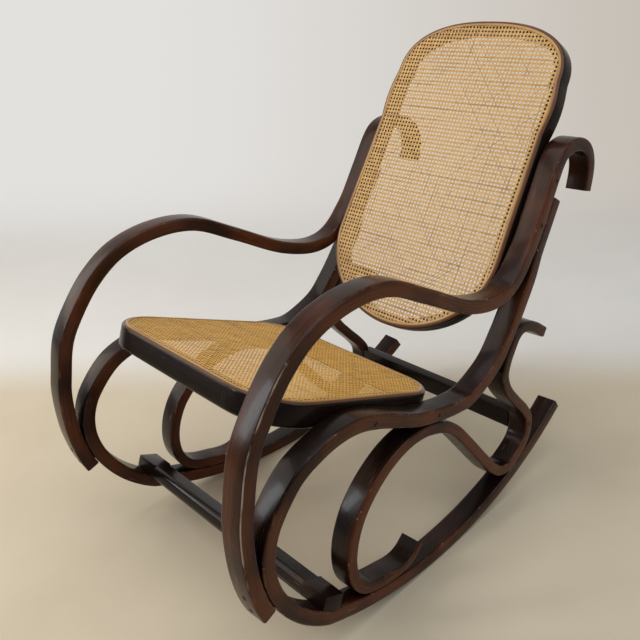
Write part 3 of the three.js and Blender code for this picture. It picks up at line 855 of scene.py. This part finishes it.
def make_cane(name, pale, straw):
    finish, shader = new_finish(name, Coat_Weight=0.06, Coat_Roughness=0.3, Specular_IOR_Level=0.4)
    grain = stored(finish, "grain", "Vector")
    strand_tone = noise(finish, grain, (3, 130, 1), detail=1, rough=0.5)
    browned = specks(finish, grain, (3, 120, 1), detail=2, rough=0.6, none_at=0.54, full_at=0.66, most=0.9)
    fibres = noise(finish, grain, (40, 3200, 3200), detail=2, rough=0.6)
    tone = total(finish, times(finish, strand_tone, 0.7), times(finish, fibres, 0.3))
    colour = ramp(finish, tone, (0.36, straw), (0.58, pale))
    join(finish, shader.inputs["Base Color"], blend_colours(finish, browned, colour, CANE_BROWN))
    join(finish, shader.inputs["Roughness"], total(finish, times(finish, fibres, 0.3), 0.3))
    bump(finish, shader, (fibres, 0.00008))
    return finish


CANES = {"back": make_cane("back_cane", BACK_PALE, BACK_STRAW)}
CANES["seat"] = make_cane("seat_cane", SEAT_PALE, SEAT_STRAW)

# %% [markdown]
# ## The strands of a panel
#
# Cane webbing is woven in pairs: two upright strands, then two cross strands, every 9 mm. A diagonal
# strand each way cuts the corners of the squares that are left, so the openings turn into octagons. An
# image or a bump of this would look flat at the edge and through the holes, so every strand is real: a
# thin curve with a flat section, drawn to where it meets the spline, and given its height at each
# crossing.

# %% Draw the strands of one direction
PITCH = 9.0
CANE_EDGE = 12.9
CROSS_HIGH = -0.8


def inset(outline, by):
    before, after = np.roll(outline, 1, 0), np.roll(outline, -1, 0)
    along = after - before
    along /= np.linalg.norm(along, axis=1)[:, None]
    return outline + by * np.stack([-along[:, 1], along[:, 0]], 1)


def normal_to(direction):
    return np.array([direction[1], -direction[0]])


def clipped(outline, across, direction):
    """The first and last length at which a straight line, given by its distance across, is inside."""
    away = outline @ normal_to(direction) - across
    lengths = outline @ direction
    next_away, next_lengths = np.roll(away, -1), np.roll(lengths, -1)
    crossing = (away > 0) != (next_away > 0)
    if not crossing.any():
        return None
    share = away[crossing] / (away[crossing] - next_away[crossing])
    cuts = lengths[crossing] + share * (next_lengths[crossing] - lengths[crossing])
    return cuts.min(), cuts.max()


def strand_points(outline, across, direction, bends):
    """Points of one strand, in mm. Bends are a period and its (length, height) pairs, or one height."""
    ends = clipped(outline, across, direction)
    if ends is None or ends[1] - ends[0] < PITCH / 2:
        return None
    if isinstance(bends, float):
        marks = [(ends[0], bends), (ends[1], bends)]
    else:
        period, heights = bends
        turns = range(math.floor(ends[0] / period) - 1, math.ceil(ends[1] / period) + 1)
        marks = [(turn * period + place, high) for turn in turns for place, high in heights]
        inside = [mark for mark in marks if ends[0] < mark[0] < ends[1]]
        marks = [(ends[0], CROSS_HIGH)] + inside + [(ends[1], CROSS_HIGH)]
    return np.array([(*(direction * mark + normal_to(direction) * across), high) for mark, high in marks])


def strands(outline, direction, spacing, offset, bends):
    """All strands of one direction, one at every spacing."""
    reach = outline @ normal_to(direction)
    numbers = range(math.floor(reach.min() / spacing) - 1, math.ceil(reach.max() / spacing) + 1)
    drawn = [strand_points(outline, number * spacing + offset, direction, bends) for number in numbers]
    return [points for points in drawn if points is not None]


UP, CROSS = np.array((0, 1)), np.array((1, 0))
seat_inside, back_inside = inset(seat_outline, CANE_EDGE), inset(back_outline, CANE_EDGE)
print("the seat takes", len(strands(seat_inside, UP, PITCH, 0.0, CROSS_HIGH)), "pairs of uprights")

# %% [markdown]
# ## How the strands pass over and under
#
# The uprights lie at two heights with the first cross strand between them. The second cross strand dips
# under one upright and goes over its partner, which locks the pair. Each diagonal lies over one band of
# strands and under the next, with a short flat on each, and its neighbour does the opposite. A few
# heights at named places are enough for this, because the curve runs straight between them.

# %% Give the strands their heights
PAIR_HALF = 1.02
DIAGONAL_PITCH = PITCH / math.sqrt(2)
DIAGONAL_FLAT = 1.1
FIRST_UPRIGHT_HIGH, SECOND_UPRIGHT_HIGH = -1.15, -0.45
TUCKED_HIGH, PROUD_HIGH = -1.35, -0.2
RISING, FALLING = np.array((1, 1)) / math.sqrt(2), np.array((-1, 1)) / math.sqrt(2)
LOCK = PITCH, [(-PAIR_HALF, TUCKED_HIGH), (PAIR_HALF, PROUD_HIGH)]


def swinging(first_high, last_high):
    """Heights of a diagonal over two bands, first at one height and then at the other."""
    marks = [(-DIAGONAL_FLAT, first_high), (DIAGONAL_FLAT, first_high),
             (DIAGONAL_PITCH - DIAGONAL_FLAT, last_high), (DIAGONAL_PITCH + DIAGONAL_FLAT, last_high)]
    return 2 * DIAGONAL_PITCH, [(place + DIAGONAL_PITCH / 2, high) for place, high in marks]


def diagonals(outline, direction):
    """Every other diagonal meets the same band one step later, so its swing starts the other way."""
    over_first, under_first = swinging(PROUD_HIGH, TUCKED_HIGH), swinging(TUCKED_HIGH, PROUD_HIGH)
    middle = DIAGONAL_PITCH / 2
    return (strands(outline, direction, 2 * DIAGONAL_PITCH, middle, over_first)
            + strands(outline, direction, 2 * DIAGONAL_PITCH, middle + DIAGONAL_PITCH, under_first))


def uprights(outline):
    return (strands(outline, UP, PITCH, -PAIR_HALF, FIRST_UPRIGHT_HIGH)
            + strands(outline, UP, PITCH, PAIR_HALF, SECOND_UPRIGHT_HIGH))


def crossways(outline):
    return (strands(outline, CROSS, PITCH, -PAIR_HALF, CROSS_HIGH)
            + strands(outline, CROSS, PITCH, PAIR_HALF, LOCK))


print("a diagonal swings over", round(2 * DIAGONAL_PITCH, 2), "mm")

# %% Weave the two panels
STRAIGHT_WIDE, DIAGONAL_WIDE, STRAND_THICK = 1.95, 1.55, 0.38
STRAND_TOP_SHARE = 0.72


def strand_section(wide):
    x, y = wide / 2, STRAND_THICK / 2
    return np.array([(-x, -y), (x, -y), (STRAND_TOP_SHARE * x, y), (-STRAND_TOP_SHARE * x, y)]) * MM


def weave_piece(name, lines, direction, wide, matrix, node):
    piece = sweep(name, [line * MM for line in lines], strand_section(wide))
    points = points_of(piece)
    along, across = points[:, :2] @ direction, points[:, :2] @ normal_to(direction)
    store(piece, "grain", np.stack([along + len(name), across, points[:, 2]], 1))
    smooth(piece, degrees=50)
    finish_piece(piece, matrix, CANES[name.split("_")[0]], "woven_cane", node)
    print("  ", len(lines), "strands")


def weave(name, inside, matrix):
    node = f"{name}_cane"
    weave_piece(f"{name}_cane_uprights", uprights(inside), UP, STRAIGHT_WIDE, matrix, node)
    weave_piece(f"{name}_cane_crossways", crossways(inside), CROSS, STRAIGHT_WIDE, matrix, node)
    weave_piece(f"{name}_cane_rising", diagonals(inside, RISING), RISING, DIAGONAL_WIDE, matrix, node)
    weave_piece(f"{name}_cane_falling", diagonals(inside, FALLING), FALLING, DIAGONAL_WIDE, matrix, node)


weave("seat", seat_inside, SEAT_MATRIX)
weave("back", back_inside, BACK_MATRIX)

# %% [markdown]
# ## The cross rails
#
# A rail joins the rockers in front and another joins the scrolls behind. The CAD has their exact shape,
# saddle and all, but with knife-sharp edges. They could be modelled again, but a copy of each is merged,
# cleaned of the lines between its flat triangles, and given rounded edges.

# %% Ease the edges of the rails
RAIL_EASE = 0.002
FLAT_WITHIN_DEG, SHARP_OVER_DEG = 2, 35
RAIL_SIDE = -0.7


def dress_rail(node):
    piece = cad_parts[node].copy()
    piece.data = piece.data.copy()
    piece.name = f"{node}_wood"
    piece.hide_render = False
    SCENE.collection.objects.link(piece)
    select_only(piece)
    bpy.ops.object.mode_set(mode="EDIT")
    bpy.ops.mesh.select_all(action="SELECT")
    bpy.ops.mesh.remove_doubles(threshold=JOIN_WITHIN)
    bpy.ops.mesh.dissolve_limited(angle_limit=math.radians(FLAT_WITHIN_DEG))
    bpy.ops.object.mode_set(mode="OBJECT")
    easing = piece.modifiers.new("easing", "BEVEL")
    easing.width = RAIL_EASE
    easing.segments = 3
    easing.limit_method = "ANGLE"
    easing.angle_limit = math.radians(SHARP_OVER_DEG)
    bpy.ops.object.modifier_apply(modifier=easing.name)
    points = points_of(piece)
    middle = (points.min(0) + points.max(0)) / 2
    store(piece, "grain", points - middle * (0, 1, 1))
    store(piece, "edge", np.zeros(len(points)))
    store(piece, "side", np.full(len(points), RAIL_SIDE))
    smooth(piece, degrees=35)
    finish_piece(piece, Matrix.Identity(4), WOOD, "lacquered_wood", node)


dress_rail("front_rail")
dress_rail("rear_rail")

# %% [markdown]
# ## Dark steel
#
# The screws are steel with a dull dark skin of oxide, bare in small spots where a screwdriver and hands
# have rubbed it. Paint would hide the metal, so the metal itself is given two greys by a fine noise.

# %% Mix the steel
STEEL_DARK = (0.014, 0.012, 0.011)
STEEL_BARE = (0.11, 0.10, 0.09)


def make_steel():
    finish, shader = new_finish("dark_steel", Metallic=1.0)
    place = add(finish, "ShaderNodeTexCoord").outputs["Object"]
    spots = noise(finish, place, (700, 700, 700), detail=3, rough=0.6)
    join(finish, shader.inputs["Base Color"], ramp(finish, spots, (0.45, STEEL_DARK), (0.7, STEEL_BARE)))
    join(finish, shader.inputs["Roughness"], total(finish, times(finish, spots, 0.3), 0.28))
    bump(finish, shader, (spots, 0.00008))
    return finish


STEEL = make_steel()

# %% [markdown]
# ## The screws
#
# The bars are held by round-headed screws with a straight slot. One is modelled: a short cylinder whose
# top edge is bevelled into a dome, a bar of metal taken out of it for the slot, and a shank below. It is
# then copied to every screw of the CAD, whose own points tell where its head is and which way it goes.

# %% Model one screw
HEAD_RADIUS, HEAD_HIGH, HEAD_DOME, HEAD_SIDES = 0.0054, 0.0032, 0.0019, 32
SHANK_RADIUS, SHANK_LONG, SHANK_SIDES = 0.0024, 0.03, 16
PROUD = 0.0008
SLOT_SIZE = (0.014, 0.0012, 0.0022)


def select_edges(piece, wanted):
    """Selects the edges whose two ends pass the test, and leaves the piece in edit mode."""
    select_only(piece)
    bpy.ops.object.mode_set(mode="EDIT")
    bpy.ops.mesh.select_mode(type="EDGE")
    bpy.ops.mesh.select_all(action="DESELECT")
    bpy.ops.object.mode_set(mode="OBJECT")
    for edge in piece.data.edges:
        edge.select = wanted([piece.data.vertices[index].co for index in edge.vertices])
    bpy.ops.object.mode_set(mode="EDIT")


def model_head():
    bpy.ops.mesh.primitive_cylinder_add(vertices=HEAD_SIDES, radius=HEAD_RADIUS, depth=HEAD_HIGH,
                                        location=(0, 0, PROUD - HEAD_HIGH / 2))
    head = bpy.context.object
    select_edges(head, lambda ends: min(point.z for point in ends) > 0)
    bpy.ops.mesh.bevel(offset=HEAD_DOME, segments=5, affect="EDGES")
    bpy.ops.mesh.select_all(action="DESELECT")
    bpy.ops.object.mode_set(mode="OBJECT")
    bpy.ops.mesh.primitive_cube_add(size=1, location=(0, 0, PROUD), scale=SLOT_SIZE)
    cutter = bpy.context.object
    select_only(head)
    cut = head.modifiers.new("slot", "BOOLEAN")
    cut.operation = "DIFFERENCE"
    cut.object = cutter
    bpy.ops.object.modifier_apply(modifier=cut.name)
    bpy.data.objects.remove(cutter)
    return head


def model_screw():
    head = model_head()
    bpy.ops.mesh.primitive_cylinder_add(vertices=SHANK_SIDES, radius=SHANK_RADIUS, depth=SHANK_LONG,
                                        location=(0, 0, PROUD - HEAD_HIGH - SHANK_LONG / 2))
    head.select_set(True)
    bpy.context.view_layer.objects.active = head
    bpy.ops.object.join()
    bpy.ops.object.transform_apply()
    smooth(head, degrees=30)
    return head


pattern = model_screw()
print("one screw", len(pattern.data.vertices), "points, head", 2 * HEAD_RADIUS, "m wide")

# %% Copy the screw to every place
HEAD_SHARE = 0.8
SLOT_TURN_DEG = 37


def screw_matrix(node):
    """The head's outer middle, and the axis from the shank's tip out through the head."""
    points = points_of(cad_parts[node])
    middle = points.mean(0)
    axis = np.linalg.svd(points - middle)[2][0]
    along = (points - middle) @ axis
    away = np.linalg.norm(points - middle - along[:, None] * axis, axis=1)
    if along[away.argmax()] < 0:
        axis, along = -axis, -along
    on_head = away > HEAD_SHARE * away.max()
    centre = points[on_head].mean(0)
    top = centre + axis * (along.max() - (centre - middle) @ axis)
    return Matrix.Translation(Vector(top)) @ Vector(axis).to_track_quat("Z", "Y").to_matrix().to_4x4()


screw_nodes = [name for name in sorted(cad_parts) if "screw" in name]
for index, node in enumerate(screw_nodes):
    piece = bpy.data.objects.new(f"{node}_steel", pattern.data.copy())
    SCENE.collection.objects.link(piece)
    spin = turned(SLOT_TURN_DEG * index % 180, "Z")
    finish_piece(piece, screw_matrix(node) @ spin, STEEL, "dark_steel", node)
bpy.data.objects.remove(pattern)
print(len(screw_nodes), "screws")

# %% [markdown]
# ## Floor and backdrop
#
# The chair stands on a plain pale floor, which is whiter behind the chair, where a sheet hangs in the
# photograph. Well behind it the floor turns up, in one wide curve, into the sheet itself. A corner would
# show as a line, so one plane has its rear edge pulled up and the fold bevelled. The sheet shines with its
# own colour, but only to the camera, in reflections and through clear things. So it stays pale though it
# is far from the lamps, and adds no light to the chair.

# %% Pull a sheet up out of the floor
SHEET_TURN_DEG = 41.4
SHEET_BEHIND, SHEET_HIGH, SHEET_CURVE = 3.2, 5.0, 1.2
FLOOR_WIDE, FLOOR_FRONT = 24.0, 9.0
FLOOR_DROP = 0.0003


def at_rear(ends):
    return min(point.y for point in ends) > SHEET_BEHIND - MM


def make_sweep():
    middle = (SHEET_BEHIND - FLOOR_FRONT) / 2
    bpy.ops.mesh.primitive_plane_add(size=1, location=(0, middle, -FLOOR_DROP))
    sheet = bpy.context.object
    sheet.name = "floor"
    sheet.scale = (FLOOR_WIDE, SHEET_BEHIND + FLOOR_FRONT, 1)
    bpy.ops.object.transform_apply(location=True, rotation=False, scale=True)
    select_edges(sheet, at_rear)
    bpy.ops.mesh.extrude_region_move(TRANSFORM_OT_translate={"value": (0, 0, SHEET_HIGH)})
    bpy.ops.object.mode_set(mode="OBJECT")
    select_edges(sheet, lambda ends: at_rear(ends) and max(point.z for point in ends) < MM)
    bpy.ops.mesh.bevel(offset=SHEET_CURVE, segments=16, affect="EDGES")
    bpy.ops.object.mode_set(mode="OBJECT")
    sheet.data.transform(turned(SHEET_TURN_DEG, "Z"))
    smooth(sheet, degrees=60)
    return sheet


floor = make_sweep()
print("floor and sheet", len(floor.data.vertices), "points")

# %% Mix the floor's finish
FLOOR_DARK, FLOOR_LIGHT = (0.596, 0.513, 0.378), (0.650, 0.564, 0.424)
WHITE_DARK, WHITE_LIGHT = (0.75, 0.73, 0.695), (0.78, 0.76, 0.725)
WHITE_FROM, WHITE_TO = 0.40, 0.72
# The sheet is painted darker towards the right, a painted shade as if the light came from the left.
SHEET_LIT_LEFT, SHEET_SHADED_RIGHT = (0.77, 0.755, 0.735), (0.54, 0.49, 0.43)
LEFT_AT, RIGHT_AT = -1.6, 2.2
SHEET_FROM, SHEET_TO = 1.2, 2.6


def share_of(finish, value, start, end):
    """Goes smoothly from 0 to 1 as the value goes from start to end."""
    node = add(finish, "ShaderNodeMapRange", {"Value": value, "From Min": start, "From Max": end},
               interpolation_type="SMOOTHSTEP")
    return node.outputs["Result"]


def make_floor_finish():
    finish, shader = new_finish("pale_floor", Roughness=0.6, Specular_IOR_Level=0.2)
    place = add(finish, "ShaderNodeTexCoord").outputs["Object"]
    turn_back = {"Vector": place, "Angle": -math.radians(SHEET_TURN_DEG)}
    squared = add(finish, "ShaderNodeVectorRotate", turn_back, rotation_type="Z_AXIS").outputs["Vector"]
    sheet_place = add(finish, "ShaderNodeSeparateXYZ", {"Vector": squared})
    across, behind = sheet_place.outputs["X"], sheet_place.outputs["Y"]
    cloud = noise(finish, place, (3, 3, 3), detail=4, rough=0.55)
    lower = ramp(finish, cloud, (0.3, FLOOR_DARK), (0.7, FLOOR_LIGHT))
    upper = ramp(finish, cloud, (0.3, WHITE_DARK), (0.7, WHITE_LIGHT))
    shade = blend_colours(finish, share_of(finish, behind, WHITE_FROM, WHITE_TO), lower, upper)
    join(finish, shader.inputs["Base Color"], shade)
    # Painted shade: the sheet's glow goes from the pale left colour to the darker right one.
    painted_shade_share = share_of(finish, across, LEFT_AT, RIGHT_AT)
    sheet_painted_shade_colour = blend_colours(finish, painted_shade_share, SHEET_LIT_LEFT, SHEET_SHADED_RIGHT)
    glow = add(finish, "ShaderNodeEmission", {"Color": sheet_painted_shade_colour, "Strength": 1.0})
    path = add(finish, "ShaderNodeLightPath").outputs
    seen = greatest(finish, path["Is Camera Ray"], path["Is Glossy Ray"], path["Is Transmission Ray"])
    shining = times(finish, share_of(finish, behind, SHEET_FROM, SHEET_TO), seen)
    mixed = add(finish, "ShaderNodeMixShader",
                {0: shining, 1: shader.outputs["BSDF"], 2: glow.outputs["Emission"]})
    join(finish, finish.node_tree.nodes["Material Output"].inputs["Surface"], mixed.outputs["Shader"])
    return finish


floor.data.materials.append(make_floor_finish())

# %% [markdown]
# ## Light
#
# The room is left rather dim, because dark lacquer looks black where it mirrors a dim room and only gleams
# where it mirrors a window. Stronger lamps all round would turn it grey. So one window in front on the
# left and another on the right give the long cool gleams, and a bright wall and a wide lamp overhead keep
# the shadows open.

# %% Light the room
ROOM_COLOUR, ROOM_STRENGTH = (0.93, 0.96, 1.0, 1), 0.27


def make_world():
    world = bpy.data.worlds.new("room")
    world.use_nodes = True
    background = world.node_tree.nodes["Background"]
    background.inputs["Color"].default_value = ROOM_COLOUR
    background.inputs["Strength"].default_value = ROOM_STRENGTH
    SCENE.world = world


def hang_light(name, place, aim, size, power, colour=(1, 1, 1)):
    turn = (Vector(aim) - Vector(place)).to_track_quat("-Z", "Y").to_euler()
    bpy.ops.object.light_add(type="AREA", location=place, rotation=turn)
    lamp = bpy.context.object
    lamp.name = name
    lamp.data.shape = "RECTANGLE"
    lamp.data.size, lamp.data.size_y = size
    lamp.data.energy = power
    lamp.data.color = colour
    print(name, "at", place, power, "W")


make_world()
hang_light("window", place=(-1.5, -2.5, 1.8), aim=(0.2, 0.1, 0.4), size=(0.5, 1.3), power=20,
           colour=(0.86, 0.93, 1.0))
hang_light("bright_wall", place=(-2.0, -1.7, 2.0), aim=(0.1, 0.1, 0.4), size=(2.4, 2.4), power=42,
           colour=(1.0, 0.90, 0.78))
hang_light("side_window", place=(2.3, 0.7, 2.0), aim=(0, 0.1, 0.5), size=(1.5, 2.0), power=18,
           colour=(0.88, 0.94, 1.0))
hang_light("sky", place=(0.2, -0.3, 3.4), aim=(0, 0.3, 0), size=(3.0, 3.0), power=50)
